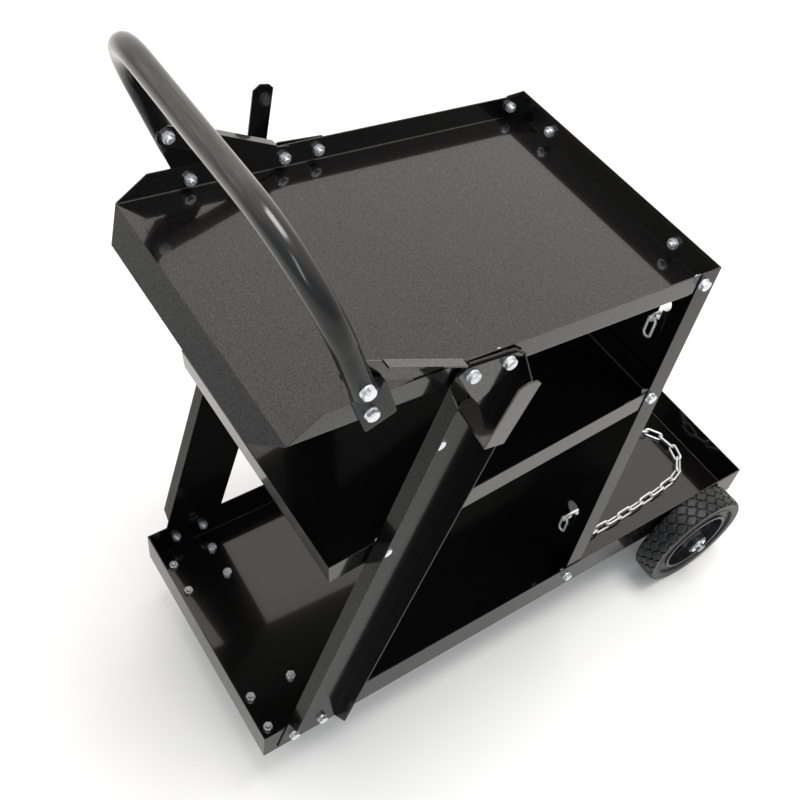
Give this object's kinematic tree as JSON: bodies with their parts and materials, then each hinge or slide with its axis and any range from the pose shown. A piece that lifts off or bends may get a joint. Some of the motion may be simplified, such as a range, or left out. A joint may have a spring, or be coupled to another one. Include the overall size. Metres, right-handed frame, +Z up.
{
  "type": "welding cart",
  "caption": "Sheet steel welding cart with sloping shelves, a cylinder platform, chains, cable hooks, a push handle, fixed rear wheels and swivel casters.",
  "frame": {"origin": "on the floor, under the middle of the cart's outline", "axes": "+Z up, +Y towards the rear wheels and the cylinder platform, +X to the right of a person at the handle"},
  "size_m": [0.4088, 0.7678, 0.86],
  "materials": {
    "black_sheet": "gloss",
    "black_tube": "satin",
    "zinc": "bright",
    "chain_zinc": "bright",
    "bare_steel": "satin",
    "hub_plastic": "satin",
    "core_plastic": "satin",
    "tyre_rubber": "matt",
    "caster_rubber": "matt"
  },
  "bodies": {
    "frame": {"bottom_tray": "black_sheet", "rear_panel": "black_sheet", "middle_shelf": "black_sheet", "top_tray": "black_sheet", "leg_left": "black_sheet", "leg_right": "black_sheet", "handle_tube": "black_tube", "strut_left": "black_sheet", "strut_right": "black_sheet", "cable_hook_left": "black_sheet", "cable_hook_right": "black_sheet", "leg_bolts": "zinc", "leg_nuts": "zinc", "leg_spacers": "zinc", "panel_bolts": "zinc", "panel_nuts": "zinc", "handle_bolts": "zinc", "handle_nuts": "zinc", "caster_bolts": "zinc", "caster_nuts": "zinc", "axle_rod": "bare_steel", "axle_bracket_left": "black_sheet", "axle_bracket_right": "black_sheet", "axle_washers": "zinc", "split_pins": "zinc", "caster_plate_left": "zinc", "caster_plate_right": "zinc", "caster_kingpin_left": "zinc", "caster_kingpin_right": "zinc", "chain_upper": "chain_zinc", "chain_lower": "chain_zinc"},
    "wheel_left": {"wheel_hub_left": "hub_plastic", "wheel_tyre_left": "tyre_rubber"},
    "wheel_right": {"wheel_hub_right": "hub_plastic", "wheel_tyre_right": "tyre_rubber"},
    "swivel_left": {"caster_fork_left": "zinc", "caster_axle_left": "zinc"},
    "swivel_right": {"caster_fork_right": "zinc", "caster_axle_right": "zinc"},
    "caster_wheel_left": {"caster_core_left": "core_plastic", "caster_tyre_left": "caster_rubber"},
    "caster_wheel_right": {"caster_core_right": "core_plastic", "caster_tyre_right": "caster_rubber"}
  },
  "joints": [
    {"name": "wheel_left_spin", "type": "hinge", "parent": "frame", "child": "wheel_left", "pos_m": [-0.17075, 0.28889, 0.08], "axis": [1, 0, 0], "continuous": true},
    {"name": "swivel_left_turn", "type": "hinge", "parent": "frame", "child": "swivel_left", "pos_m": [-0.102, -0.32911, 0.086], "axis": [0, 0, 1], "continuous": true},
    {"name": "caster_wheel_left_spin", "type": "hinge", "parent": "swivel_left", "child": "caster_wheel_left", "pos_m": [-0.102, -0.30411, 0.0375], "axis": [1, 0, 0], "continuous": true},
    {"name": "wheel_right_spin", "type": "hinge", "parent": "frame", "child": "wheel_right", "pos_m": [0.17075, 0.28889, 0.08], "axis": [1, 0, 0], "continuous": true},
    {"name": "swivel_right_turn", "type": "hinge", "parent": "frame", "child": "swivel_right", "pos_m": [0.102, -0.32911, 0.086], "axis": [0, 0, 1], "continuous": true},
    {"name": "caster_wheel_right_spin", "type": "hinge", "parent": "swivel_right", "child": "caster_wheel_right", "pos_m": [0.102, -0.30411, 0.0375], "axis": [1, 0, 0], "continuous": true}
  ]
}
